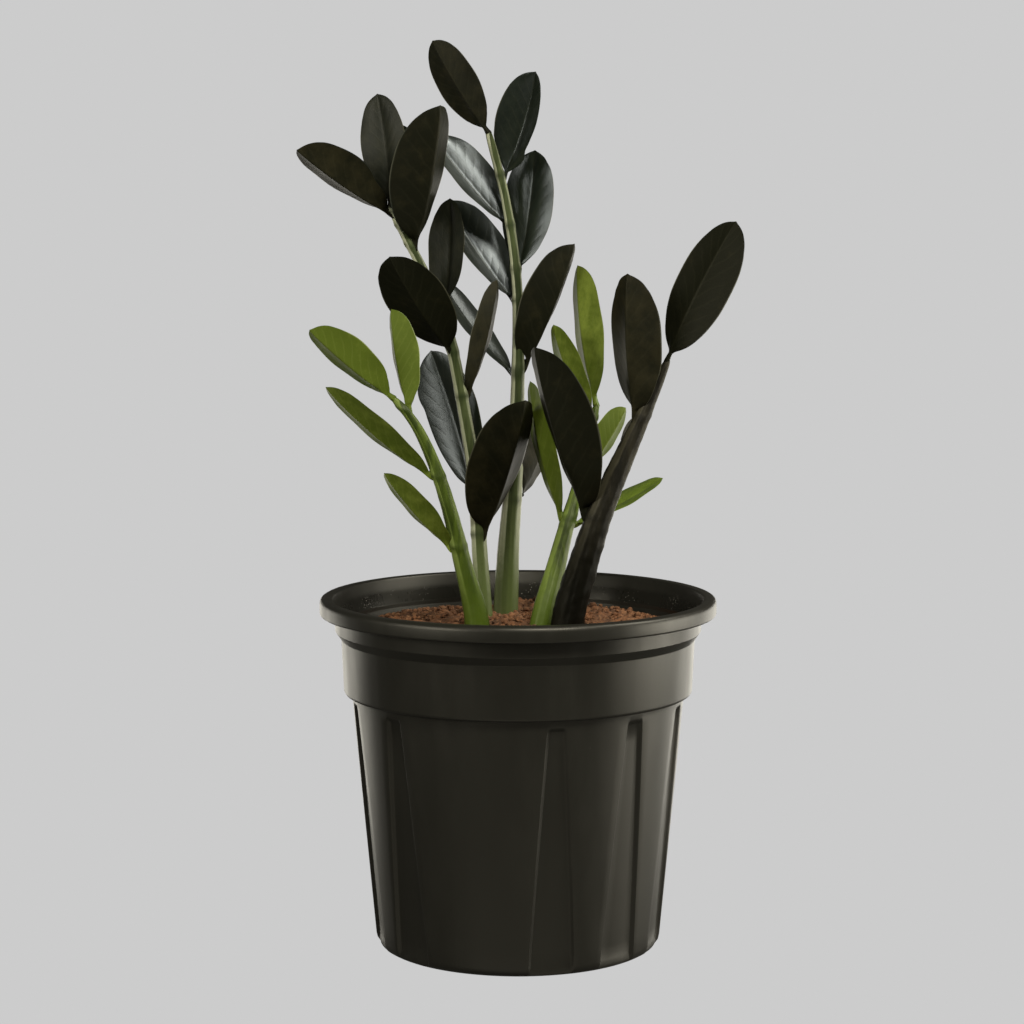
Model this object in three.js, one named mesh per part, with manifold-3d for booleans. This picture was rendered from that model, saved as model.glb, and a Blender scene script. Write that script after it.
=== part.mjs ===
// Potted ZZ plant in a fluted grower's pot, in millimetres with +Z up.
// The origin is the centre of the pot's foot, on the surface that the pot stands on.
// The front is -Y, and +X is to the right of someone who looks at the front.
import * as THREE from "three";
import { mergeVertices } from "three/addons/utils/BufferGeometryUtils.js";
import Module from "manifold-3d";

const wasm = await Module();
wasm.setup();

// ---------------------------------------------------------------- driving dimensions

// Pot, outside.
const POT_HEIGHT = 142;
const RIM_RADIUS = 80;
const LIP_HEIGHT = 6.5;
const LIP_OVERHANG = 6.2; // from the neck band out to the edge of the rim
const LIP_ROUND = 2;
const RIM_TOP_WIDTH = 4.9; // from the edge of the rim in to the top of the inner wall
const NECK_DROP = 13; // rim top to the foot of the neck band
const NECK_STEP = 2.5; // neck band radius less collar radius
const NECK_STEP_HEIGHT = 3.5;
const COLLAR_DROP = 36; // rim top to the underside of the collar
const COLLAR_TAPER = 1;
const COLLAR_ROUND = 2.5;
const SHELF = 3.2; // the collar stands this far out from the body
const FOOT_RADIUS = 57.4;
const FOOT_ROUND = 4.6;
const TURN = 0.7; // where a rounded corner's middle point stands, as a share of its size

// Pot, wall and base.
const WALL = 1.6;
const BASE_THICKNESS = 2.2;
const PAD_RADIUS = 18; // flat pad in the middle of the base
const DRAIN_RECESS = 2.6; // the ring with the drain holes is raised by this much
const DRAIN_RING_OUTER = 42;
const DRAIN_HOLE_RADIUS = 4;
const DRAIN_HOLES = 8;
const DRAIN_TOOL_LENGTH = 20;
const ROUND_SIDES = 20;
const INNER_LEDGE_DROP = 8; // rim top to the stacking ledge inside the neck
const INNER_LEDGE_HEIGHT = 2.6;
const INNER_LEDGE_WIDTH = 0.9;

// Flutes: tapered recesses round the body, missing on a plain panel at the front and back.
const SECTORS = 12;
const FIRST_FLUTE = 13; // degrees from the front, towards +X
const PLAIN_SECTORS = [5, 11];
const FLUTE_DEPTH = 1.5;
const FLUTE_HALF_TOP = 3.5; // degrees
const FLUTE_HALF_FOOT = 9.4;
const FLUTE_WALL = 1.4; // degrees taken by each side wall of a flute
const FLUTE_END_DROP = 2.5; // body top to the top of a flute
const FLUTE_RUNOUT = 2.4; // height over which a flute's top end fades out
const FLUTE_AT_TURN = 0.6; // share of the depth that is left on the foot's rounding

// Soil.
const HEADSPACE = 12; // rim top to the level of the soil
const SOIL_EDGE_DROP = 4; // the soil is this much lower at the wall
const SOIL_LUMP = 0.8;
const SOIL_RINGS = 5; // rings of points over the surface
const MOUNDS = [
  // x, y, height, radius
  [4, 44, 5, 12],
  [32, 36, 4.5, 10],
  [-38, 22, 3.5, 12],
  [46, 14, 2.5, 11],
  [-4, 2, 2.5, 14],
];

// Leaves.
const BLADE_THICKNESS = 0.9;
const MARGIN_SHARE = 0.42; // place of the flank points, as a share of the half width
const MIDRIB_GROOVE = 0.3;
const MIDRIB_RIDGE = 0.5;
const STALK_RADIUS = 1.15;
const STALK_THICKNESS = 1.84;
const STALK_LENGTH = 1.5; // clear of the stem
const STALK_END = 0.5;
const TIP_HALF_WIDTH = 0.3;
const FOOT_FULLNESS = 0.8; // powers of the outline: smaller is blunter
const TIP_FULLNESS = 0.62;
const STATIONS = [0.18, 0.32, 0.5, 0.68, 0.84, 0.95]; // cross-sections, as shares of the length
const LEAF_ARCH = -0.04; // share of the length; below 0 the tip turns to the upper side
const LEAF_CURL = 0.25; // how far each half bulges between midrib and margin

const CLEARANCE = 0.3; // between pieces that touch
const STEM_SIDES = 12;
const STEM_STEPS = 11;
const STEM_END = 1; // height of the point that closes each end
const RHIZOME_STEPS = 8;
const RHIZOME_KNOB = 0.05; // share of the radius

const SOIL_LEVEL = POT_HEIGHT - HEADSPACE;

// Each stem's middle line is a smooth curve through its points, from the rhizome to the tip, with z
// measured from the soil level. Widths are diameters at shares of the length.
const STEMS = {
  centre_stem: {
    points: [
      [-6, 26, -26], [-5, 28, 2], [-4, 28, 29], [-1, 27, 65],
      [0, 25, 102], [0, 23, 134], [-3, 21, 161], [-7, 19, 181], [-12, 17, 198],
    ],
    widths: [[0, 11], [0.19, 10], [0.28, 8.4], [0.5, 6], [0.65, 4.6], [1, 3.4]],
    colour: 0x3f5a2c,
  },
  left_stem: {
    points: [
      [-12, 18, -26], [-14, 16, 4], [-16, 16, 33], [-18, 15, 62], [-23, 13, 92],
      [-28, 10, 119], [-37, 7, 142], [-45, 5, 156], [-51, 4, 168],
    ],
    widths: [[0, 8], [0.23, 6.6], [0.5, 5.6], [0.8, 4.4], [1, 3.2]],
    colour: 0x3a4430,
  },
  young_left_stem: {
    points: [
      [-18, -17, -24], [-16, -14, 4], [-21, -16, 23], [-25, -18, 41],
      [-30, -20, 59], [-36, -21, 75], [-43, -22, 88], [-49, -23, 94],
    ],
    widths: [[0, 11], [0.24, 10.4], [0.35, 7.8], [0.6, 6], [0.8, 4.8], [1, 3]],
    colour: 0x5f7f1e,
  },
  young_right_stem: {
    points: [
      [7, -15, -24], [9, -14, 4], [14, -8, 20], [19, 0, 39],
      [24, 7, 54], [28, 13, 70], [32, 19, 88],
    ],
    widths: [[0, 10], [0.24, 9], [0.36, 8.6], [0.55, 6.4], [0.8, 4.6], [1, 3]],
    colour: 0x5f7f1e,
  },
  right_stem: {
    points: [
      [21, -23, -26], [19, -24, 5], [25, -25, 26], [31, -27, 46],
      [39, -28, 66], [49, -29, 88], [58, -30, 109],
    ],
    widths: [[0, 13], [0.25, 13.5], [0.38, 12], [0.52, 10.4], [0.7, 8.6], [0.82, 6.4], [1, 3.2]],
    colour: 0x24261d,
  },
};

// Each leaf leaves its stem at a share of the stem's length. Heading 0 is +X, 90 is the back, 180 is
// -X and 270 is the front; rise is above the horizon. Face is the way the upper side looks. Fold is
// how far each half is raised from flat, in degrees.
const LEAVES = {
  centre_stem: [
    { name: "centre_leaf_1", at: 1, heading: 170, rise: 58,
      length: 43, width: 20, face: [60, 10], fold: 8 },
    { name: "centre_leaf_2", at: 0.91, heading: 329, rise: 70,
      length: 46, width: 21, face: [240, 0], fold: 34, arch: -0.09 },
    { name: "centre_leaf_3", at: 0.73, heading: 29, rise: 81,
      length: 53, width: 25, face: [240, 10], fold: 8 },
    { name: "centre_leaf_4", at: 0.82, heading: 166, rise: 49,
      length: 50, width: 23, face: [305, 35], fold: 28 },
    { name: "centre_leaf_5", at: 0.68, heading: 156, rise: 53,
      length: 54, width: 25, face: [305, 35], fold: 26 },
    { name: "centre_leaf_6", at: 0.55, heading: 350, rise: 67,
      length: 60, width: 27, face: [140, 20], fold: 30 },
    { name: "centre_leaf_7", at: 0.55, heading: 151, rise: 48,
      length: 55, width: 22, face: [330, 40], fold: 9 },
    { name: "centre_leaf_8", at: 0.31, heading: 23, rise: 64,
      length: 46, width: 21, face: [145, 15], fold: 16 },
  ],
  left_stem: [
    { name: "left_leaf_1", at: 0.98, heading: 200, rise: 33,
      length: 48, width: 22, face: [75, 40], fold: 34 },
    { name: "left_leaf_2", at: 1, heading: 115, rise: 74,
      length: 47, width: 22, face: [240, 10], fold: 8 },
    { name: "left_leaf_3", at: 0.9, heading: 299, rise: 68,
      length: 62, width: 33, face: [140, 20], fold: 28 },
    { name: "left_leaf_4", at: 0.76, heading: 67, rise: 82,
      length: 47, width: 22, face: [225, 5], fold: 13 },
    { name: "left_leaf_5", at: 0.67, heading: 221, rise: 51,
      length: 53, width: 29, face: [75, 35], fold: 8 },
    { name: "left_leaf_6", at: 0.57, heading: 0, rise: 75,
      length: 53, width: 21, face: [155, 15], fold: 13 },
    { name: "left_leaf_7", at: 0.37, heading: 140, rise: 68,
      length: 66, width: 30, face: [235, 5], fold: 8 },
    { name: "left_leaf_8", at: 0.94, heading: 100, rise: 77,
      length: 45, width: 21, face: [230, 10], fold: 8 },
    { name: "left_leaf_9", at: 0.28, heading: 311, rise: 65,
      length: 68, width: 31, face: [130, 25], fold: 30 },
  ],
  young_left_stem: [
    { name: "young_left_leaf_1", at: 1, heading: 197, rise: 39,
      length: 43, width: 20, face: [70, 35], fold: 29 },
    { name: "young_left_leaf_2", at: 0.92, heading: 135, rise: 75,
      length: 43, width: 20, face: [35, 0], fold: 26 },
    { name: "young_left_leaf_3", at: 0.69, heading: 185, rise: 40,
      length: 59, width: 25, face: [40, 45], fold: 12 },
    { name: "young_left_leaf_4", at: 0.44, heading: 191, rise: 48,
      length: 46, width: 21, face: [40, 35], fold: 16 },
  ],
  young_right_stem: [
    { name: "young_right_leaf_1", at: 0.56, heading: 149, rise: 74,
      length: 61, width: 28, face: [20, 10], fold: 8 },
    { name: "young_right_leaf_2", at: 1, heading: 123, rise: 76,
      length: 58, width: 27, face: [25, 0], fold: 15 },
    { name: "young_right_leaf_3", at: 0.93, heading: 194, rise: 68,
      length: 44, width: 20, face: [35, 20], fold: 12 },
    { name: "young_right_leaf_4", at: 0.74, heading: 28, rise: 53,
      length: 35, width: 16, face: [135, 15], fold: 20 },
    { name: "young_right_leaf_5", at: 0.56, heading: 3, rise: 27,
      length: 44, width: 20, face: [205, 60], fold: 8 },
  ],
  right_stem: [
    { name: "right_leaf_1", at: 1, heading: 351, rise: 64,
      length: 60, width: 27, face: [55, -10], fold: 8 },
    { name: "right_leaf_2", at: 0.79, heading: 242, rise: 82,
      length: 62, width: 28, face: [45, 10], fold: 23 },
    { name: "right_leaf_3", at: 0.48, heading: 211, rise: 70,
      length: 79, width: 36, face: [35, 20], fold: 28 },
    { name: "right_leaf_4", at: 0.55, heading: 31, rise: 67,
      length: 39, width: 15, face: [155, 15], fold: 9 },
  ],
};

// Rhizomes: swollen roots in the soil that the stems grow from. Centres are measured like the stems.
const RHIZOMES = {
  back_rhizome: { centre: [-8, 22, -36], radii: [21, 14, 13] },
  left_rhizome: { centre: [-21, -18, -34], radii: [14, 13, 12] },
  right_rhizome: { centre: [17, -20, -36], radii: [19, 12, 13] },
};

// ---------------------------------------------------------------- helpers

const radians = THREE.MathUtils.degToRad;
const lerp = THREE.MathUtils.lerp;

// A unit vector from a compass heading and a rise, both in degrees.
function direction(heading, rise) {
  const flat = Math.cos(radians(rise));
  return new THREE.Vector3(
    flat * Math.cos(radians(heading)),
    flat * Math.sin(radians(heading)),
    Math.sin(radians(rise)),
  );
}

// Closes a row of rings, each a list of points counter-clockwise about the row's own direction,
// with a fan to the first and the last point. Where the row runs down, each quad is split along its
// other diagonal, so a lining and what it lines keep the same facets.
function loft(first, rings, last) {
  const sides = rings[0].length;
  const points = [first, ...rings.flat(), last];
  const at = (ring, side) => 1 + ring * sides + (side % sides);
  const index = [];
  for (let i = 0; i < sides; i++) {
    index.push(0, at(0, i + 1), at(0, i));
    for (let ring = 0; ring + 1 < rings.length; ring++) {
      const [a, b] = [at(ring, i), at(ring, i + 1)];
      const [c, d] = [at(ring + 1, i + 1), at(ring + 1, i)];
      if (rings[ring + 1][0].z < rings[ring][0].z) index.push(a, b, d, b, c, d);
      else index.push(a, b, c, a, c, d);
    }
    index.push(points.length - 1, at(rings.length - 1, i), at(rings.length - 1, i + 1));
  }
  const geometry = new THREE.BufferGeometry().setFromPoints(points);
  geometry.setIndex(index);
  geometry.computeVertexNormals();
  return geometry;
}

function solidOf(geometry) {
  const bare = geometry.clone();
  bare.deleteAttribute("normal");
  bare.deleteAttribute("uv");
  const merged = mergeVertices(bare, 1e-4);
  return new wasm.Manifold(
    new wasm.Mesh({
      numProp: 3,
      vertProperties: merged.attributes.position.array,
      triVerts: new Uint32Array(merged.index.array),
    }),
  );
}

function geometryOf(solid) {
  const mesh = solid.getMesh();
  const geometry = new THREE.BufferGeometry();
  geometry.setAttribute("position", new THREE.BufferAttribute(mesh.vertProperties, 3));
  geometry.setIndex(new THREE.BufferAttribute(mesh.triVerts, 1));
  geometry.computeVertexNormals();
  return geometry;
}

// Cuts tools away and keeps the largest piece that is left.
function cut(geometry, tools) {
  let solid = solidOf(geometry);
  for (const tool of tools) solid = solid.subtract(solidOf(tool));
  const pieces = solid.decompose();
  pieces.sort((a, b) => b.volume() - a.volume());
  return geometryOf(pieces[0]);
}

function material(colour, roughness) {
  return new THREE.MeshStandardMaterial({ color: colour, roughness, metalness: 0 });
}

function node(name, geometry, finish) {
  const mesh = new THREE.Mesh(geometry, finish);
  mesh.name = name;
  return mesh;
}

// ---------------------------------------------------------------- pot

const neckRadius = RIM_RADIUS - LIP_OVERHANG;
const collarTop = neckRadius - NECK_STEP;
const collarFoot = collarTop - COLLAR_TAPER;
const bodyTopRadius = collarFoot - SHELF;
const bodyTop = POT_HEIGHT - COLLAR_DROP - COLLAR_ROUND;
const fluteTop = bodyTop - FLUTE_END_DROP;
const fluteFull = fluteTop - FLUTE_RUNOUT;
const bodyFoot = FOOT_ROUND;

// Radius of the body's outside at a height, on the straight taper between foot and collar.
function bodyRadius(z) {
  return lerp(FOOT_RADIUS, bodyTopRadius, (z - bodyFoot) / (bodyTop - bodyFoot));
}

// Profile points are [radius, height, flute], where flute says how much of the recess is there.
function outerProfile() {
  const lipFoot = POT_HEIGHT - LIP_HEIGHT;
  const neckFoot = POT_HEIGHT - NECK_DROP;
  const collarBottom = POT_HEIGHT - COLLAR_DROP;
  const footTurn = FOOT_RADIUS - FOOT_ROUND;
  return [
    [PAD_RADIUS, 0, 0],
    [PAD_RADIUS + DRAIN_RECESS, DRAIN_RECESS, 0],
    [DRAIN_RING_OUTER - DRAIN_RECESS, DRAIN_RECESS, 0],
    [DRAIN_RING_OUTER, 0, 0],
    [footTurn, 0, 0],
    [footTurn + TURN * FOOT_ROUND, (1 - TURN) * FOOT_ROUND, FLUTE_AT_TURN],
    [FOOT_RADIUS, bodyFoot, 1],
    [bodyRadius(fluteFull), fluteFull, 1],
    [bodyRadius(fluteTop), fluteTop, 0],
    [bodyTopRadius, bodyTop, 0],
    [collarFoot - (1 - TURN) * COLLAR_ROUND, collarBottom - TURN * COLLAR_ROUND, 0],
    [collarFoot, collarBottom, 0],
    [collarTop, neckFoot - NECK_STEP_HEIGHT, 0],
    [neckRadius, neckFoot, 0],
    [neckRadius, lipFoot, 0],
    [RIM_RADIUS - 0.5 * LIP_ROUND, lipFoot, 0],
    [RIM_RADIUS, lipFoot + 0.5 * LIP_ROUND, 0],
    [RIM_RADIUS, POT_HEIGHT - LIP_ROUND, 0],
    [RIM_RADIUS - LIP_ROUND, POT_HEIGHT, 0],
    [RIM_RADIUS - RIM_TOP_WIDTH, POT_HEIGHT, 0],
  ];
}

// The inside, from the rim down to the base. A larger gap gives the soil its clearance.
function innerProfile(gap) {
  const off = WALL + gap;
  const floor = BASE_THICKNESS + gap;
  const neckFoot = POT_HEIGHT - NECK_DROP;
  const collarBottom = POT_HEIGHT - COLLAR_DROP;
  const ledgeTop = POT_HEIGHT - INNER_LEDGE_DROP;
  const ledge = neckRadius - off - INNER_LEDGE_WIDTH;
  return [
    [neckRadius - off, ledgeTop, 0],
    [ledge, ledgeTop - INNER_LEDGE_HEIGHT, 0],
    [ledge, neckFoot + 0.5 * off, 0],
    [collarTop - off, neckFoot - NECK_STEP_HEIGHT, 0],
    [collarFoot - off, collarBottom + 0.5 * off, 0],
    [bodyTopRadius - off, bodyTop, 0],
    [bodyRadius(fluteTop) - off, fluteTop, 0],
    [bodyRadius(fluteFull) - off, fluteFull, 1],
    [FOOT_RADIUS - off, bodyFoot + 0.5 * off, 1],
    [FOOT_RADIUS - TURN * FOOT_ROUND - off, floor, 0],
    [DRAIN_RING_OUTER + off, floor, 0],
    [DRAIN_RING_OUTER - DRAIN_RECESS + off, floor + DRAIN_RECESS, 0],
    [PAD_RADIUS + DRAIN_RECESS - off, floor + DRAIN_RECESS, 0],
    [PAD_RADIUS - off, floor, 0],
  ];
}

// One ring of the pot. Its points stand on the flutes' edges, which draw apart towards the foot.
function potRing([radius, z, flute]) {
  const share = THREE.MathUtils.clamp((z - bodyFoot) / (fluteTop - bodyFoot), 0, 1);
  const half = lerp(FLUTE_HALF_FOOT, FLUTE_HALF_TOP, share);
  const pitch = 360 / SECTORS;
  const land = pitch - 2 * half;
  const ring = [];
  for (let sector = 0; sector < SECTORS; sector++) {
    const middle = FIRST_FLUTE + sector * pitch;
    const depth = PLAIN_SECTORS.includes(sector) ? 0 : flute * FLUTE_DEPTH;
    const corners = [
      [-half, 0],
      [-half + FLUTE_WALL, depth],
      [half - FLUTE_WALL, depth],
      [half, 0],
      [half + land / 3, 0],
      [half + (2 * land) / 3, 0],
    ];
    for (const [turn, inset] of corners) {
      const angle = radians(middle + turn - 90);
      const reach = radius - inset;
      ring.push(new THREE.Vector3(reach * Math.cos(angle), reach * Math.sin(angle), z));
    }
  }
  return ring;
}

function drainHoles() {
  const across = (PAD_RADIUS + DRAIN_RING_OUTER) / 2;
  const holes = [];
  for (let i = 0; i < DRAIN_HOLES; i++) {
    const hole = new THREE.CylinderGeometry(
      DRAIN_HOLE_RADIUS,
      DRAIN_HOLE_RADIUS,
      DRAIN_TOOL_LENGTH,
      ROUND_SIDES,
    );
    const angle = ((i + 0.5) * 2 * Math.PI) / DRAIN_HOLES;
    hole.rotateX(Math.PI / 2);
    hole.translate(across * Math.cos(angle), across * Math.sin(angle), DRAIN_RECESS);
    holes.push(hole);
  }
  return holes;
}

function makePot() {
  const rings = [...outerProfile(), ...innerProfile(0)].map(potRing);
  const shell = loft(new THREE.Vector3(0, 0, 0), rings, new THREE.Vector3(0, 0, BASE_THICKNESS));
  return cut(shell, drainHoles());
}

// ---------------------------------------------------------------- soil

// Height of the soil's surface: a low dome with mounds and small lumps.
function soilHeight(x, y) {
  const edge = neckRadius - WALL;
  const out = Math.min(1, Math.hypot(x, y) / edge);
  let height = SOIL_LEVEL - SOIL_EDGE_DROP * out ** 3;
  for (const [mx, my, rise, reach] of MOUNDS) {
    const far = Math.hypot(x - mx, y - my) / reach;
    height += rise * Math.exp(-far * far);
  }
  const lumps = Math.sin(0.31 * x + 1.3) * Math.sin(0.27 * y) + Math.sin(0.55 * x - 0.4 * y);
  return height + SOIL_LUMP * lumps * (1 - out ** 4);
}

function makeSoil(holes) {
  const wall = innerProfile(CLEARANCE).reverse();
  const surfaceEdge = SOIL_LEVEL - SOIL_EDGE_DROP;
  const below = wall.filter(([, z]) => z < surfaceEdge - 1);
  const [innerRadius] = wall[below.length];
  const rings = below.map(potRing);
  const edge = Math.min(innerRadius, below.at(-1)[0]);
  for (let left = SOIL_RINGS; left > 0; left--) {
    const ring = potRing([(edge * left) / SOIL_RINGS, surfaceEdge, 0]);
    for (const point of ring) point.z = soilHeight(point.x, point.y);
    rings.push(ring);
  }
  const foot = new THREE.Vector3(0, 0, BASE_THICKNESS + CLEARANCE);
  const top = new THREE.Vector3(0, 0, soilHeight(0, 0));
  return cut(loft(foot, rings, top), holes);
}

// ---------------------------------------------------------------- stems and rhizomes

function stemCurve(stem) {
  return new THREE.CatmullRomCurve3(stem.points.map((p) => new THREE.Vector3(...p)));
}

function stemRadius(stem, share) {
  const { widths } = stem;
  let i = 1;
  while (i < widths.length - 1 && share > widths[i][0]) i++;
  const [from, low] = widths[i - 1];
  const [to, high] = widths[i];
  return lerp(low, high, (share - from) / (to - from)) / 2;
}

// A stem, or with a gap the space that it needs. Both ends are rounded off.
function makeStem(stem, gap = 0) {
  const curve = stemCurve(stem);
  const rings = [];
  for (let step = 0; step <= STEM_STEPS; step++) {
    const share = step / STEM_STEPS;
    const middle = curve.getPointAt(share);
    const along = curve.getTangentAt(share);
    const side = new THREE.Vector3(0, 1, 0).cross(along).normalize();
    const front = along.clone().cross(side);
    const radius = stemRadius(stem, share) + gap;
    const ring = [];
    for (let i = 0; i < STEM_SIDES; i++) {
      const angle = (2 * Math.PI * i) / STEM_SIDES;
      const point = middle.clone().addScaledVector(side, radius * Math.cos(angle));
      ring.push(point.addScaledVector(front, radius * Math.sin(angle)));
    }
    rings.push(ring);
  }
  const foot = curve.getPointAt(0).addScaledVector(curve.getTangentAt(0), -STEM_END - gap);
  const tip = curve.getPointAt(1).addScaledVector(curve.getTangentAt(1), STEM_END + gap);
  return loft(foot, rings, tip);
}

// A knobbly root, longer than it is high.
function makeRhizome({ centre, radii }, gap = 0) {
  const rings = [];
  for (let step = 1; step < RHIZOME_STEPS; step++) {
    const polar = Math.PI * (1 - step / RHIZOME_STEPS);
    const ring = [];
    for (let i = 0; i < STEM_SIDES; i++) {
      const angle = (2 * Math.PI * i) / STEM_SIDES;
      const knob = 1 + RHIZOME_KNOB * Math.sin(3 * angle + centre[0]) * Math.sin(2 * polar);
      ring.push(
        new THREE.Vector3(
          centre[0] + (radii[0] * knob + gap) * Math.sin(polar) * Math.cos(angle),
          centre[1] + (radii[1] * knob + gap) * Math.sin(polar) * Math.sin(angle),
          centre[2] + (radii[2] + gap) * Math.cos(polar),
        ),
      );
    }
    rings.push(ring);
  }
  const foot = new THREE.Vector3(centre[0], centre[1], centre[2] - radii[2] - gap);
  const top = new THREE.Vector3(centre[0], centre[1], centre[2] + radii[2] + gap);
  return loft(foot, rings, top);
}

// ---------------------------------------------------------------- leaves

// Half width at a share of the length, with a stalk at the foot and a short point at the tip.
function leafHalfWidth(share, width) {
  const outline = (at) => at ** FOOT_FULLNESS * (1 - at) ** TIP_FULLNESS;
  const widest = FOOT_FULLNESS / (FOOT_FULLNESS + TIP_FULLNESS);
  const half = ((width / 2) * outline(share)) / outline(widest);
  return Math.max(half, share < widest ? STALK_RADIUS : TIP_HALF_WIDTH);
}

function makeLeaf(stem, leaf) {
  const along = direction(leaf.heading, leaf.rise);
  const up = direction(...leaf.face);
  up.addScaledVector(along, -up.dot(along)).normalize();
  const side = up.clone().cross(along);
  const start = stemCurve(stem).getPointAt(leaf.at);
  const arch = leaf.arch ?? LEAF_ARCH;
  const fold = Math.tan(radians(leaf.fold));
  const stalk = 0.5 * stemRadius(stem, leaf.at) + STALK_LENGTH;
  const middle = (share) =>
    start
      .clone()
      .addScaledVector(along, leaf.length * share)
      .addScaledVector(up, leaf.length * arch * 4 * share * (1 - share));
  const rings = [];
  for (const share of [0, stalk / leaf.length, ...STATIONS]) {
    const half = share * leaf.length > stalk ? leafHalfWidth(share, leaf.width) : STALK_RADIUS;
    const blade = share * leaf.length > stalk ? 1 : 0;
    const thick = lerp(STALK_THICKNESS, BLADE_THICKNESS, blade);
    // Points go counter-clockwise from one margin over the upper side and back underneath.
    const flank = MARGIN_SHARE * half;
    const lift = (x) => blade * Math.abs(x) * (fold + LEAF_CURL * (1 - Math.abs(x) / half));
    const section = [
      [half, lift(half)],
      [flank, lift(flank) + thick / 2],
      [0, thick / 2 - blade * MIDRIB_GROOVE],
      [-flank, lift(flank) + thick / 2],
      [-half, lift(half)],
      [-flank, lift(flank) - thick / 2],
      [0, -thick / 2 - blade * MIDRIB_RIDGE * (1 - share)],
      [flank, lift(flank) - thick / 2],
    ];
    rings.push(
      section.map(([x, y]) => middle(share).addScaledVector(side, x).addScaledVector(up, y)),
    );
  }
  return loft(middle(0).addScaledVector(along, -STALK_END), rings, middle(1));
}

// ---------------------------------------------------------------- assembly

const plastic = material(0x1f1f1c, 0.45);
const coir = material(0x6b3d27, 1);
const root = material(0x9a7a52, 0.8);
const oldLeaf = material(0x20231c, 0.35);
const youngLeaf = material(0x55731c, 0.4);

const object = new THREE.Group();
const plant = new THREE.Group();
plant.position.z = SOIL_LEVEL;

const rhizomeSpace = Object.values(RHIZOMES).map((rhizome) => makeRhizome(rhizome, CLEARANCE));
const soilHoles = rhizomeSpace.map((space) => space.clone());

for (const [name, rhizome] of Object.entries(RHIZOMES)) {
  plant.add(node(name, makeRhizome(rhizome), root));
}

for (const [name, stem] of Object.entries(STEMS)) {
  const space = makeStem(stem, CLEARANCE);
  soilHoles.push(space.clone());
  plant.add(node(name, cut(makeStem(stem), rhizomeSpace), material(stem.colour, 0.45)));
  const finish = name.startsWith("young") ? youngLeaf : oldLeaf;
  for (const leaf of LEAVES[name]) {
    plant.add(node(leaf.name, cut(makeLeaf(stem, leaf), [space]), finish));
  }
}

for (const hole of soilHoles) hole.translate(0, 0, SOIL_LEVEL);
object.add(node("pot", makePot(), plastic));
object.add(node("soil", makeSoil(soilHoles), coir));
object.add(plant);

export default object;
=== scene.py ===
"""Potted ZZ plant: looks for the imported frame, in metres."""

import math
import random

import bpy
import numpy as np
from mathutils import Matrix, Vector, noise
from mathutils.bvhtree import BVHTree


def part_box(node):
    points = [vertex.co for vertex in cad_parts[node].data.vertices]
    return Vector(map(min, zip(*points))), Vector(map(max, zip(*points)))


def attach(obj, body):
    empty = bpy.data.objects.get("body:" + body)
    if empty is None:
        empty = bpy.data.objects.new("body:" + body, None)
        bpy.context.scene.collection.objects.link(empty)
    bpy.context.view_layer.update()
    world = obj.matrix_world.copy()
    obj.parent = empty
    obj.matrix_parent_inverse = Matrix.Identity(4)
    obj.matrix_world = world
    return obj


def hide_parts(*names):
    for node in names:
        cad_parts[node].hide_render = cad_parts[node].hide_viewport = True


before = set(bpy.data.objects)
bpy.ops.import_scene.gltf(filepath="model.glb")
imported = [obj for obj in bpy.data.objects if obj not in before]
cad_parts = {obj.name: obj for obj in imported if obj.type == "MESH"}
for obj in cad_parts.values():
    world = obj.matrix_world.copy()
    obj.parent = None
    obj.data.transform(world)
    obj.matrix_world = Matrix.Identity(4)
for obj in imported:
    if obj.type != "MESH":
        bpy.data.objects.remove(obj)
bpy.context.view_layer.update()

MM = 0.001
POT_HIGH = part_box("pot")[1]
HEIGHT = POT_HIGH.z / MM
RIM = POT_HIGH.x / MM
SOIL_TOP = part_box("soil")[1].z

STEMS = ("centre_stem", "left_stem", "young_left_stem", "young_right_stem", "right_stem")
LEAF_LEVELS = 3
STEM_LEVELS = 3
STEM_FOOT = 12 * MM
CRUMBS = 1400
rng = random.Random(7)


# ------------------------------------------------------------------ helpers


def activate(obj):
    if bpy.context.object and bpy.context.object.mode != "OBJECT":
        bpy.ops.object.mode_set(mode="OBJECT")
    bpy.ops.object.select_all(action="DESELECT")
    obj.select_set(True)
    bpy.context.view_layer.objects.active = obj


def named(name):
    obj = bpy.context.object
    obj.name = name
    obj.data.name = name
    return obj


def copy_of(node, name):
    """A copy of a CAD node with its facets joined up."""
    obj = bpy.data.objects.new(name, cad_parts[node].data.copy())
    bpy.context.collection.objects.link(obj)
    activate(obj)
    bpy.ops.object.mode_set(mode="EDIT")
    bpy.ops.mesh.select_all(action="SELECT")
    bpy.ops.mesh.remove_doubles(threshold=1e-5)
    bpy.ops.mesh.tris_convert_to_quads()
    bpy.ops.mesh.normals_make_consistent(inside=False)
    bpy.ops.object.mode_set(mode="OBJECT")
    return obj


def subdivide(obj, levels):
    activate(obj)
    subsurf = obj.modifiers.new("subdivision", "SUBSURF")
    subsurf.levels = subsurf.render_levels = levels
    bpy.ops.object.modifier_apply(modifier=subsurf.name)


def points_of(obj):
    co = np.empty(len(obj.data.vertices) * 3)
    obj.data.vertices.foreach_get("co", co)
    return co.reshape(-1, 3)


def normals_of(obj):
    co = np.empty(len(obj.data.vertices) * 3)
    obj.data.vertex_normals.foreach_get("vector", co)
    return co.reshape(-1, 3)


def set_points(obj, co):
    obj.data.vertices.foreach_set("co", np.ascontiguousarray(co).ravel())
    obj.data.update()


def attribute(obj, name, values):
    layer = obj.data.attributes.new(name, "FLOAT", "POINT")
    layer.data.foreach_set("value", np.ascontiguousarray(values, dtype=np.float32))


def smooth(obj, degrees):
    activate(obj)
    bpy.ops.object.shade_smooth_by_angle(angle=math.radians(degrees))


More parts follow.
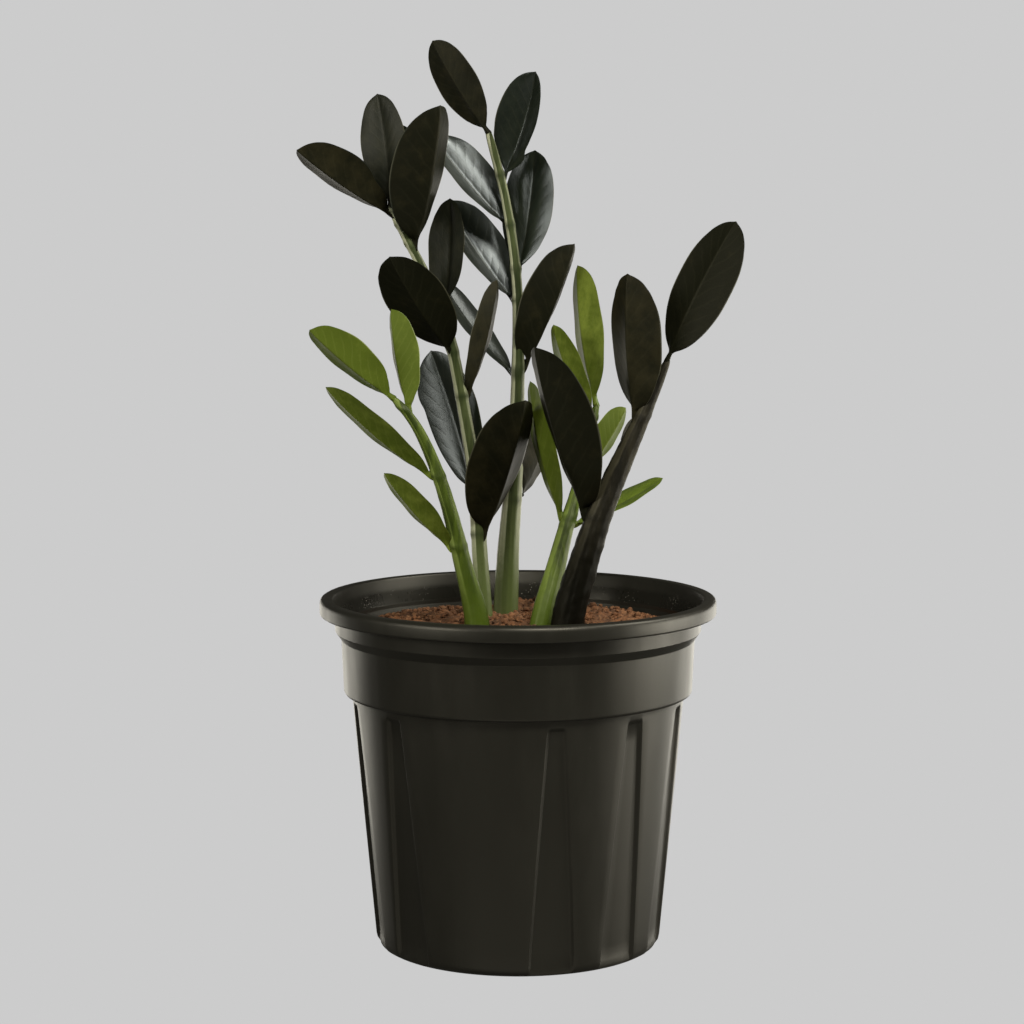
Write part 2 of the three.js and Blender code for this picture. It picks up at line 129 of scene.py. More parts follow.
def finish_piece(obj, material, slot, *nodes):
    obj.data.materials.clear()
    obj.data.materials.append(material)
    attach(obj, "root")
    if nodes:
        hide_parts(*nodes)


def smoothstep(low, high, x):
    t = np.clip((x - low) / (high - low), 0, 1)
    return t * t * (3 - 2 * t)


# ------------------------------------------------------------------ shader helpers


WARM = (1.0, 0.96, 0.85, 1)


class Nodes:
    """Short calls for the nodes of one tree."""

    def __init__(self, tree):
        self.tree = tree

    def put(self, value, socket):
        if isinstance(value, bpy.types.NodeSocket):
            self.tree.links.new(value, socket)
        else:
            socket.default_value = value

    def node(self, kind, **settings):
        made = self.tree.nodes.new("ShaderNode" + kind)
        for key, value in settings.items():
            setattr(made, key, value)
        return made

    def coords(self):
        return self.node("TexCoord").outputs["Object"]

    def attribute(self, name):
        return self.node("Attribute", attribute_name=name).outputs["Fac"]

    def math(self, operation, a, b=0.0):
        made = self.node("Math", operation=operation)
        self.put(a, made.inputs[0])
        self.put(b, made.inputs[1])
        return made.outputs[0]

    def span(self, value, low, high, to_low=0.0, to_high=1.0):
        made = self.node("MapRange", interpolation_type="SMOOTHSTEP")
        for key, x in zip(
            ("Value", "From Min", "From Max", "To Min", "To Max"), (value, low, high, to_low, to_high)
        ):
            self.put(x, made.inputs[key])
        return made.outputs["Result"]

    def mix(self, mask, a, b):
        made = self.node("Mix", data_type="RGBA")
        self.put(mask, made.inputs[0])
        self.put(a if isinstance(a, bpy.types.NodeSocket) else (*a, 1), made.inputs[6])
        self.put(b if isinstance(b, bpy.types.NodeSocket) else (*b, 1), made.inputs[7])
        return made.outputs[2]

    def noise(self, scale, detail=4, roughness=0.6, stretch=None):
        made = self.node("TexNoise")
        place = self.coords()
        if stretch:
            mapping = self.node("Mapping")
            self.put(place, mapping.inputs["Vector"])
            mapping.inputs["Scale"].default_value = stretch
            place = mapping.outputs["Vector"]
        self.put(place, made.inputs["Vector"])
        made.inputs["Scale"].default_value = scale
        made.inputs["Detail"].default_value = detail
        made.inputs["Roughness"].default_value = roughness
        return made.outputs["Fac"]

    def cells(self, scale, output="Distance"):
        made = self.node("TexVoronoi")
        self.put(self.coords(), made.inputs["Vector"])
        made.inputs["Scale"].default_value = scale
        return made.outputs[output]

    def bump(self, height, strength, distance, normal=None):
        made = self.node("Bump")
        self.put(height, made.inputs["Height"])
        made.inputs["Strength"].default_value = strength
        made.inputs["Distance"].default_value = distance
        if normal:
            self.put(normal, made.inputs["Normal"])
        return made.outputs["Normal"]

    def effect(self, group, **values):
        made = self.node("Group", node_tree=group)
        for key, value in values.items():
            self.put(value, made.inputs[key])
        return made.outputs


class Shader(Nodes):
    """A material and its Principled BSDF."""

    def __init__(self, name):
        self.material = bpy.data.materials.new(name)
        self.material.use_nodes = True
        super().__init__(self.material.node_tree)
        self.bsdf = self.tree.nodes["Principled BSDF"]

    def done(self, **sockets):
        for key, value in sockets.items():
            self.put(value, self.bsdf.inputs[key.replace("_", " ")])
        return self.material


class Effect(Nodes):
    """A node group for an effect that several materials share."""

    def __init__(self, name, inputs, outputs):
        super().__init__(bpy.data.node_groups.new(name, "ShaderNodeTree"))
        for key in inputs:
            self.tree.interface.new_socket(key, in_out="INPUT", socket_type="NodeSocketFloat")
        for key in outputs:
            self.tree.interface.new_socket(key, in_out="OUTPUT", socket_type="NodeSocketFloat")
        self.given = self.tree.nodes.new("NodeGroupInput").outputs
        self.result = self.tree.nodes.new("NodeGroupOutput").inputs


def leaf_skin():
    """Side veins that slant to the margin, the distance from the midrib, mottling and fine grain."""
    s = Effect("leaf_skin", ("Pairs", "Wander"), ("Veins", "Away", "Mottle", "Fine"))
    away = s.math("ABSOLUTE", s.attribute("leaf_across"))
    rise = s.math("MULTIPLY", s.math("POWER", away, 0.8), 5.0)
    phase = s.math("SUBTRACT", s.math("MULTIPLY", s.attribute("leaf_along"), s.given["Pairs"]), rise)
    phase = s.math("ADD", phase, s.math("MULTIPLY", s.noise(90, 3), s.given["Wander"]))
    wave = s.math("SINE", s.math("MULTIPLY", phase, math.pi))
    s.put(s.math("MULTIPLY", s.span(wave, 0.7, 1.0), s.span(away, 0.98, 0.5)), s.result["Veins"])
    s.put(away, s.result["Away"])
    s.put(s.noise(140, 6, 0.65), s.result["Mottle"])
    s.put(s.noise(900, 5, 0.7), s.result["Fine"])
    return s.tree


def stem_skin():
    """Streaks along the stem, and painted highlights: pale bands near its left and right edges as seen from
    the front.
    """
    s = Effect("stem_skin", ("Strength",), ("Streak", "EdgeHighlight"))
    streak = s.noise(260, 4, 0.6, stretch=(1, 1, 0.06))
    shift = s.math("MULTIPLY", s.math("SUBTRACT", streak, 0.5), 0.5)
    edge = s.math("ADD", s.attribute("stem_side"), shift)
    # Painted highlight: a pale band near the stem's left edge and a weaker one near its right edge, standing
    # in for light on its rounded sides.
    left = s.math("MULTIPLY", s.span(edge, -0.3, -0.48), s.span(edge, -0.98, -0.8))
    edge_highlight = s.math("ADD", left, s.math("MULTIPLY", s.span(edge, 0.6, 0.8), 0.35))
    s.put(s.math("MULTIPLY", edge_highlight, s.given["Strength"]), s.result["EdgeHighlight"])
    s.put(streak, s.result["Streak"])
    return s.tree


LEAF_SKIN = leaf_skin()
STEM_SKIN = stem_skin()


def leaf_material(name, upper, upper_deep, lower, lower_deep, rib, margin, gloss, vein_share):
    s = Shader(name)
    side, tint = s.attribute("leaf_upper"), s.attribute("leaf_tint")
    skin = s.effect(LEAF_SKIN, Pairs=18.0, Wander=2.0)
    veins, away, mottle, fine = (skin[key] for key in ("Veins", "Away", "Mottle", "Fine"))
    over = s.mix(s.span(mottle, 0.3, 0.75), upper_deep, upper)
    over = s.mix(s.math("MULTIPLY", veins, 0.1), over, rib)
    shade = s.math("ADD", mottle, s.math("MULTIPLY", tint, 0.35))
    under = s.mix(s.span(shade, 0.35, 0.85), lower_deep, lower)
    under = s.mix(s.math("MULTIPLY", veins, vein_share), under, rib)
    colour = s.mix(side, under, over)
    colour = s.mix(s.math("MULTIPLY", s.span(away, 0.05, 0.012), 0.12), colour, rib)
    # Painted highlight: a pale line along the leaf margin, standing in for light caught by the blade's edge.
    # The next line uses the same pale colour for fine flecks in the grain.
    colour = s.mix(s.math("MULTIPLY", s.span(away, 0.955, 0.995), 0.7), colour, margin)
    colour = s.mix(s.math("MULTIPLY", s.span(fine, 0.62, 0.8), 0.12), colour, margin)
    rough = s.math("ADD", s.span(side, 0.0, 1.0, 0.5, gloss), s.math("MULTIPLY", fine, 0.1))
    swell = s.math("ADD", s.math("MULTIPLY", veins, -0.35), s.math("MULTIPLY", mottle, 0.5))
    relief = s.bump(swell, 0.2, 0.0002)
    return s.done(
        Base_Color=colour,
        Roughness=rough,
        Normal=s.bump(fine, 0.25, 0.0001, relief),
        IOR=1.45,
        Specular_Tint=s.mix(side, WARM[:3], (0.86, 0.94, 1.0)),
        Specular_IOR_Level=s.span(side, 0.0, 1.0, 0.13, 0.74),
    )


def stem_material(name, body, deep, edge_highlight_colour, base, base_top, roughness, base_shine=0.26):
    """A fleshy stem: painted highlights run along its edges as pale bands, and its lowest part has a colour of
    its own.
    """
    s = Shader(name)
    height, knot = s.attribute("stem_height"), s.attribute("stem_knot")
    skin = s.effect(STEM_SKIN, Strength=0.9)
    streak, mottle = skin["Streak"], s.noise(420, 6, 0.7)
    colour = s.mix(s.span(streak, 0.35, 0.7), deep, body)
    # Painted highlight along the stem's left and right edges.
    colour = s.mix(skin["EdgeHighlight"], colour, edge_highlight_colour)
    low = s.span(s.math("ADD", height, s.math("MULTIPLY", mottle, 0.02)), base_top, base_top * 0.35)
    colour = s.mix(s.math("MULTIPLY", low, 0.93), colour, base)
    colour = s.mix(s.math("MULTIPLY", s.span(mottle, 0.55, 0.75), 0.35), colour, deep)
    colour = s.mix(s.math("MULTIPLY", knot, 0.85), colour, deep)
    height_map = s.math("ADD", s.math("MULTIPLY", streak, 0.7), mottle)
    return s.done(
        Base_Color=colour,
        Roughness=s.span(mottle, 0.2, 0.9, roughness - 0.06, roughness + 0.12),
        Normal=s.bump(height_map, 0.35, 0.0003),
        Specular_Tint=WARM,
        Specular_IOR_Level=s.span(low, 0.0, 1.0, 0.26, base_shine),
    )


# The inner wall over the soil, in metres: radii and heights where its look comes in.
INNER_WALL = (0.0739, 0.0727)
ABOVE_SOIL = (0.1308, 0.132)


def pot_material():
    s = Shader("pot_plastic")
    place = s.node("SeparateXYZ")
    s.put(s.coords(), place.inputs[0])
    grain = s.noise(2600, 3, 0.6)
    scuff = s.noise(38, 5, 0.65, stretch=(1, 1, 0.25))
    dust = s.noise(420, 6, 0.75)
    squares = [s.math("POWER", place.outputs[i], 2.0) for i in (0, 1)]
    radius = s.math("SQRT", s.math("ADD", *squares))
    inside = s.math("MULTIPLY", s.span(radius, *INNER_WALL), s.span(place.outputs[2], *ABOVE_SOIL))
    specks = s.math("MULTIPLY", s.span(s.cells(1000), 0.3, 0.12), s.span(s.noise(80, 3), 0.52, 0.68))
    worn = s.math("MULTIPLY", s.span(scuff, 0.5, 0.8), 0.5)
    colour = s.mix(worn, (0.0095, 0.0092, 0.0072), (0.015, 0.0145, 0.0115))
    colour = s.mix(s.math("MULTIPLY", s.span(dust, 0.62, 0.8), 0.06), colour, (0.2, 0.19, 0.17))
    colour = s.mix(s.math("MULTIPLY", s.math("MULTIPLY", specks, inside), 0.75), colour, (0.42, 0.4, 0.36))
    return s.done(
        Base_Color=colour,
        Roughness=s.math("SUBTRACT", s.span(scuff, 0.25, 0.8, 0.34, 0.48), s.math("MULTIPLY", inside, 0.13)),
        Normal=s.bump(grain, 0.12, 0.0001),
        Specular_IOR_Level=s.span(inside, 0.0, 1.0, 0.47, 0.2),
        IOR=1.47,
        Specular_Tint=WARM,
    )


def soil_material():
    s = Shader("coir")
    clump = s.noise(170, 6, 0.7)
    fine = s.noise(1100, 6, 0.75)
    flake = s.cells(620, output="Color")
    tone = s.node("SeparateXYZ")
    s.put(flake, tone.inputs[0])
    colour = s.mix(s.span(clump, 0.3, 0.7), (0.05, 0.0215, 0.0085), (0.2, 0.08, 0.03))
    flakes = s.math("MULTIPLY", s.span(tone.outputs[0], 0.55, 0.95), 0.55)
    colour = s.mix(flakes, colour, (0.26, 0.125, 0.055))
    colour = s.mix(s.math("MULTIPLY", s.span(fine, 0.5, 0.3), 0.6), colour, (0.018, 0.008, 0.004))
    return s.done(Base_Color=colour, Roughness=0.95, Normal=s.bump(fine, 0.8, 0.0006))


def root_material():
    s = Shader("rhizome_skin")
    skin = s.noise(240, 6, 0.7)
    colour = s.mix(s.span(skin, 0.3, 0.7), (0.2, 0.12, 0.06), (0.42, 0.29, 0.16))
    return s.done(Base_Color=colour, Roughness=0.8, Normal=s.bump(skin, 0.5, 0.0005))


# The sixth colour of each leaf is the pale margin line, a painted highlight, and is also used for fine flecks.
OLD_LEAF = leaf_material(
    "old_leaf", (0.014, 0.018, 0.011), (0.006, 0.009, 0.005),
    (0.0195, 0.0175, 0.0078), (0.006, 0.0065, 0.0028),
    (0.045, 0.044, 0.026), (0.1, 0.095, 0.06), 0.27, 0.06,
)
YOUNG_LEAF = leaf_material(
    "young_leaf", (0.12, 0.17, 0.018), (0.065, 0.1, 0.01), (0.175, 0.22, 0.034), (0.08, 0.112, 0.012),
    (0.22, 0.26, 0.06), (0.34, 0.38, 0.14), 0.36, 0.1,
)
# The third colour of each stem is its painted edge highlight.
GREEN_STEM = stem_material(
    "green_stem", (0.075, 0.095, 0.035), (0.022, 0.032, 0.011), (0.52, 0.54, 0.37), (0.075, 0.1, 0.03),
    0.06, 0.42,
)
YOUNG_STEM = stem_material(
    "young_stem", (0.074, 0.11, 0.011), (0.024, 0.04, 0.004), (0.17, 0.225, 0.05), (0.05, 0.08, 0.005),
    0.045, 0.45,
)
DARK_STEM = stem_material(
    "dark_stem", (0.021, 0.0185, 0.011), (0.006, 0.0056, 0.0036), (0.055, 0.05, 0.031),
    (0.0025, 0.0025, 0.0016), 0.085, 0.5, 0.08,
)
POT = pot_material()
SOIL = soil_material()
ROOT = root_material()


# ------------------------------------------------------------------ pot

SECTORS = 12
PLAIN = (5, 11)
FIRST_FLUTE = 13.0
FLUTE_DEPTH = 1.5
HALF_TOP, HALF_FOOT, FLUTE_WALL = 3.5, 9.4, 1.4
BODY_FOOT, FLUTE_FULL, FLUTE_TOP = 4.6, 98.6, 101.0
WALL_STEPS = ((0.0, 0.0), (0.14, 0.05), (0.5, 0.5), (0.86, 0.95), (1.0, 1.0))
FLOOR_STEPS, LAND_STEPS = 4, 6
FLUTES_FROM_RADIUS = 53
LONG_WALL = 50
WALL_RINGS = (10, 20, 35, 50, 65, 80, 92, FLUTE_FULL, 99.2, 99.8, 100.4, FLUTE_TOP)
DRAIN_HOLES, DRAIN_CIRCLE, DRAIN_RADIUS, DRAIN_MIDDLE, DRAIN_CUT = 8, 30, 4, 3, 20

# radius, height, rounding of each corner in millimetres, from under the base round to the inside.
CORNERS = (
    (18, 0, 0.6), (20.6, 2.6, 0.6), (39.4, 2.6, 0.6), (42, 0, 0.8), (57.4, 0, 4.6),
    (67.1, 103.5, 0.7), (70.3, 103.5, 2.4), (71.3, 125.5, 0.9), (73.8, 129, 0.7), (73.8, 135.5, 1.0),
    (RIM, 135.5, 0.9), (RIM, HEIGHT, 2.4), (75.1, HEIGHT, 1.2), (72.2, 134, 0.5), (71.3, 131.4, 0.5),
    (71.3, 129.8, 0.5), (69.7, 125.5, 0.7), (68.7, 106.8, 1.0), (65.5, 103.5, 1.0), (55.8, 3.6, 2.4),
    (43.6, 2.2, 0.6), (41, 4.8, 0.6), (19, 4.8, 0.6), (16.4, 2.2, 0.6),
)


def profile():
    """The corners rounded off, with more rings where the flutes run."""
    rows = [Vector((r, z)) for r, z, _ in CORNERS]
    made = [rows[0]]
    for i in range(1, len(rows) - 1):
        into, out = rows[i] - rows[i - 1], rows[i + 1] - rows[i]
        turn = into.angle(out, 0.0)
        reach = min(CORNERS[i][2] * math.tan(turn / 2), into.length * 0.45, out.length * 0.45)
        start, end = rows[i] - into.normalized() * reach, rows[i] + out.normalized() * reach
        for t in (0, 0.25, 0.5, 0.75, 1):
            made.append(start.lerp(rows[i], t).lerp(rows[i].lerp(end, t), t))
    made.append(rows[-1])
    full = [made[0]]
    for a, b in zip(made, made[1:]):
        if abs(b.y - a.y) > LONG_WALL:
            for z in WALL_RINGS if b.y > a.y else WALL_RINGS[::-1]:
                full.append(a.lerp(b, (z - a.y) / (b.y - a.y)))
        full.append(b)
    return full


def ring_of_pot(radius, z):
    """The points of one ring, on the flutes' edges."""
    share = min(1.0, max(0.0, (z - BODY_FOOT) / (FLUTE_TOP - BODY_FOOT)))
    half = HALF_FOOT + (HALF_TOP - HALF_FOOT) * share
    fade = smoothstep(0, BODY_FOOT, z) * (1 - smoothstep(FLUTE_FULL - 0.6, FLUTE_TOP, z))
    depth = FLUTE_DEPTH * float(fade)
    if radius < FLUTES_FROM_RADIUS:
        depth = 0.0
    pitch = 360 / SECTORS
    ring = []
    for sector in range(SECTORS):
        middle = FIRST_FLUTE + sector * pitch
        cut = 0.0 if sector in PLAIN else depth
        turns = [(-half + FLUTE_WALL * a, cut * d) for a, d in WALL_STEPS]
        floor = half - FLUTE_WALL
        turns += [(-floor + 2 * floor * k / FLOOR_STEPS, cut) for k in range(1, FLOOR_STEPS)]
        turns += [(half - FLUTE_WALL * a, cut * d) for a, d in reversed(WALL_STEPS)]
        land = pitch - 2 * half
        turns += [(half + land * k / LAND_STEPS, 0.0) for k in range(1, LAND_STEPS)]
        for turn, inset in turns:
            angle = math.radians(middle + turn - 90)
            reach = (radius - inset) * MM
            ring.append((reach * math.cos(angle), reach * math.sin(angle), z * MM))
    return ring


def build_pot():
    """The pot: rings pulled up from a circle, closed under the base, and cut through by the drain holes."""
    rows = profile()
    sides = len(ring_of_pot(1, 0))
    step = 0.01
    bpy.ops.mesh.primitive_circle_add(vertices=sides, radius=1.0)
    pot = named("pot_shell")
    bpy.ops.object.mode_set(mode="EDIT")
    bpy.ops.mesh.select_all(action="SELECT")
    for _ in rows[1:]:
        bpy.ops.mesh.extrude_edges_move(TRANSFORM_OT_translate={"value": (0, 0, step)})
    bpy.ops.object.mode_set(mode="OBJECT")
    co = points_of(pot)
    first = math.atan2(co[0][1], co[0][0])
    rings = [ring_of_pot(r, z) for r, z in rows]
    for i, (x, y, z) in enumerate(co.copy()):
        side = round((math.atan2(y, x) - first) / (2 * math.pi) * sides) % sides
        co[i] = rings[round(z / step)][side]
    set_points(pot, co)
    bpy.ops.object.mode_set(mode="EDIT")
    bpy.ops.mesh.select_all(action="SELECT")
    bpy.ops.mesh.fill_holes(sides=0)
    bpy.ops.mesh.normals_make_consistent(inside=False)
    bpy.ops.object.mode_set(mode="OBJECT")
    holes = []
    for i in range(DRAIN_HOLES):
        angle = (i + 0.5) * 2 * math.pi / DRAIN_HOLES
        out = DRAIN_CIRCLE * MM
        bpy.ops.mesh.primitive_cylinder_add(
            vertices=40,
            radius=DRAIN_RADIUS * MM,
            depth=DRAIN_CUT * MM,
            location=(out * math.cos(angle), out * math.sin(angle), DRAIN_MIDDLE * MM),
        )
        holes.append(bpy.context.object)
    activate(holes[0])
    for hole in holes:
        hole.select_set(True)
    bpy.ops.object.join()
    tool = bpy.context.object
    activate(pot)
    drain = pot.modifiers.new("drain", "BOOLEAN")
    drain.object = tool
    drain.operation = "DIFFERENCE"
    drain.solver = "EXACT"
    bpy.ops.object.modifier_apply(modifier=drain.name)
    bpy.data.objects.remove(tool)
    smooth(pot, 32)
    finish_piece(pot, POT, "pot_plastic", "pot")


# ------------------------------------------------------------------ stems


def centre_line(co, low, step=0.004):
    """Heights and middles of a stem, from slices of its points."""
    marks = np.arange(low, co[:, 2].max() - step / 2, step)
    middles = []
    for z in marks:
        near = co[np.abs(co[:, 2] - z) < step]
        middles.append((near.min(0) + near.max(0)) / 2)
    middles = np.array(middles)
    for _ in range(2):
        middles[1:-1] = (middles[:-2] + 2 * middles[1:-1] + middles[2:]) / 4
    return marks, middles


def build_stem(name, material, slot, knots):
    """A stem over its CAD node, a little fuller above the soil, with a knot at the foot of each leaf."""
    piece = copy_of(name, name + "_flesh")
    subdivide(piece, STEM_LEVELS)
    co = points_of(piece)
    soil = SOIL_TOP - STEM_FOOT
    marks, middles = centre_line(co, soil)
    middle = np.stack([np.interp(co[:, 2], marks, middles[:, k]) for k in range(2)], 1)
    out = co[:, :2] - middle
    radius = np.linalg.norm(out, axis=1) + 1e-9
    side = out[:, 0] / radius
    around = np.arctan2(out[:, 0], -out[:, 1])
    knot = np.zeros(len(co))
    for place in knots:
        gap = co - np.array(place)
        along = np.abs(gap[:, 2] + 0.0006 * np.cos(around * 2))
        near = np.exp(-((np.linalg.norm(gap, axis=1) / 0.0075) ** 4))
        knot = np.maximum(knot, np.exp(-((along / 0.0011) ** 2)) * near)
    above = co[:, 2] > soil
    swell = 1.045 + 0.01 * np.cos(around * 5 + 8 * side) - 0.03 * np.exp(-((side + 0.1) / 0.16) ** 2)
    bumps = np.array([noise.noise(Vector(p) * 330) + 0.6 * noise.noise(Vector(p) * 700) for p in co])
    grow = (swell - 1) * radius + 0.0005 * knot
    grow += bumps * (0.0004 if name == "right_stem" else 0.00012) * smoothstep(0.26, 0.14, co[:, 2])
    co[:, :2] += np.where(above, grow / radius, 0)[:, None] * out
    set_points(piece, co)
    attribute(piece, "stem_side", np.where(above, side, 0))
    attribute(piece, "stem_height", np.clip(co[:, 2] - soil - 0.006, 0, 1))
    attribute(piece, "stem_knot", knot)
    smooth(piece, 80)
    finish_piece(piece, material, slot, name)


# ------------------------------------------------------------------ leaves


def leaf_axes(co, stem_points):
    """Base, along, side, up and length of a leaf from its solid. Its margins rise to its upper side."""
    centre = co.mean(0)
    _, _, axes = np.linalg.svd(co - centre, full_matrices=False)
    reach = (co - centre) @ axes[0]
    ends = [co[reach.argmin()], co[reach.argmax()]]
    gaps = [np.linalg.norm(stem_points - e, axis=1).min() for e in ends]
    tip = ends[int(gaps[0] < gaps[1])]
    far = np.linalg.norm(co - tip, axis=1)
    base = co[far > far.max() - 0.003].mean(0)
    length = np.linalg.norm(tip - base)
    along = (tip - base) / length
    flat = (co - base) - np.outer((co - base) @ along, along)
    _, _, across = np.linalg.svd(flat, full_matrices=False)
    side = across[0] - (across[0] @ along) * along
    side /= np.linalg.norm(side)
    up = np.cross(along, side)
    x, y = (co - base) @ side, (co - base) @ up
    edge = np.abs(x) > 0.8 * np.abs(x).max()
    middle = (np.abs(x) < 0.15 * np.abs(x).max()) & ((co - base) @ along > 0.2 * length)
    if y[edge].mean() < y[middle].mean():
        up, side = -up, -side
    return base, along, side, up, length


STALK_SHARE = 0.05
TIP_SHARE = 0.985
FOOT_POWER, TIP_POWER = 0.55, 0.5
CREASES = {"left": 0.85, "right": 0.85, "rib": 0.45}
# Leaves with a dull upper side.
DULL_LEAVES = ("left_leaf_2", "left_leaf_4")


def outline(share):
    """The blade's half width at a share of its length, before it is scaled."""
    return share**FOOT_POWER * (1 - share) ** TIP_POWER


def build_leaf(name, stem_points, material, slot):
    """A leaf over its CAD node: rounded outline, waved margins, pressed veins and a groove at the midrib."""
    piece = copy_of(name, name + "_blade")
    co = points_of(piece)
    base, along, side, up, length = leaf_axes(co, stem_points)
    a, x, y = ((co - base) @ v for v in (along, side, up))
    crease = np.zeros(len(piece.data.edges))
    for i, edge in enumerate(piece.data.edges):
        p, q = edge.vertices
        if min(a[p], a[q]) < 0.1 * length:
            continue
        kinds = []
        for v in (p, q):
            row = np.abs(a - a[v]) < 0.0012
            half = np.abs(x[row]).max()
            if a[v] > TIP_SHARE * length:
                kinds.append("tip")
            elif abs(x[v]) > 0.93 * half:
                kinds.append("left" if x[v] < 0 else "right")
            elif abs(x[v]) < 0.1 * half:
                kinds.append("rib")
            else:
                kinds.append(f"flank{v}")
        if kinds[0] == kinds[1] or "tip" in kinds:
            other = kinds[0] if kinds[1] == "tip" else kinds[1]
            crease[i] = CREASES.get(other, 0)
    layer = piece.data.attributes.new("crease_edge", "FLOAT", "EDGE")
    layer.data.foreach_set("value", crease.astype(np.float32))
    point = piece.data.attributes.new("crease_vert", "FLOAT", "POINT")
    point.data.foreach_set("value", (a > TIP_SHARE * length).astype(np.float32))
    subdivide(piece, LEAF_LEVELS)
    for gone in ("crease_edge", "crease_vert"):
        if gone in piece.data.attributes:
            piece.data.attributes.remove(piece.data.attributes[gone])
    co = points_of(piece)
    normal = normals_of(piece)
    a, x = (co - base) @ along, (co - base) @ side
    bins = np.linspace(0, length, 70)
    halves = np.array([np.abs(x[np.abs(a - b) < length / 60]).max(initial=0.0004) for b in bins])
    for _ in range(3):
        halves[1:-1] = (halves[:-2] + 2 * halves[1:-1] + halves[2:]) / 4
    u = np.clip(a / length, 0, 1)
    v = np.clip(x / np.interp(a, bins, halves), -1, 1)
    blade_u = np.clip((u - STALK_SHARE) / (1 - STALK_SHARE), 0, 1)
    wanted = halves.max() * outline(blade_u) / outline(FOOT_POWER / (FOOT_POWER + TIP_POWER))
    wanted = np.maximum(wanted, np.where(u < 0.3, 0.0011, 0.0))
    co += np.outer(v * wanted - x, side)
    upper = smoothstep(-0.12, 0.12, normal @ up)
    if name in DULL_LEAVES:
        upper *= 0.35
    seed = rng.uniform(0, 40)
    blade = smoothstep(0.12, 0.25, u) * smoothstep(1.0, 0.9, u)
    wave = np.sin(u * 17 + seed + 1.5 * np.sign(v)) * np.abs(v) ** 2.2 * 0.00018
    wave += np.array([noise.noise(Vector(p) * 60 + Vector((seed, 0, 0))) for p in co]) * 0.00028 * np.abs(v)
    veins = np.sin((u * 18 - 5 * np.abs(v) ** 0.8) * math.pi) * 0.00002 * smoothstep(1.0, 0.6, np.abs(v))
    groove = np.exp(-((v / 0.05) ** 2)) * 0.00022 * (1 - 0.5 * u)
    co += np.outer(wave * blade, up) + normal * ((veins - groove * (2 * upper - 1)) * blade)[:, None]
    # The foot of the stalk is widened and drawn into the stem.
    pull = np.clip(1 - a / 0.004, 0, 1.4)
    radial = co - base - np.outer((co - base) @ along, along)
    co += radial * (0.4 * np.exp(-((a / 0.0024) ** 2)) * (a < 0.006))[:, None] - np.outer(pull * 0.0014, along)
    set_points(piece, co)
    attribute(piece, "leaf_along", u)
    attribute(piece, "leaf_across", v)
    attribute(piece, "leaf_upper", upper)
    attribute(piece, "leaf_tint", np.full(len(co), rng.uniform(-0.5, 0.5)))
    smooth(piece, 55)
    finish_piece(piece, material, slot, name)
    return base


# ------------------------------------------------------------------ soil

SOIL_RADIUS = 69.6 * MM
SOIL_DIP = 12.5 * MM
CRUST_CELLS = 236


def soil_heights():
    """A function for the height of the CAD soil, with the stems' sockets bridged."""
    depsgraph = bpy.context.evaluated_depsgraph_get()
    tree = BVHTree.FromObject(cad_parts["soil"], depsgraph)
    low = SOIL_TOP - SOIL_DIP

    def height(x, y):
        for k in (1.0, 0.93, 1.08, 0.85, 1.16, 0.75, 0.6, 0.4, 0.1):
            hit = tree.ray_cast(Vector((x * k, y * k, 1)), Vector((0, 0, -1)))[0]
            if hit and hit.z > low:
                return hit.z
        return low

    return height


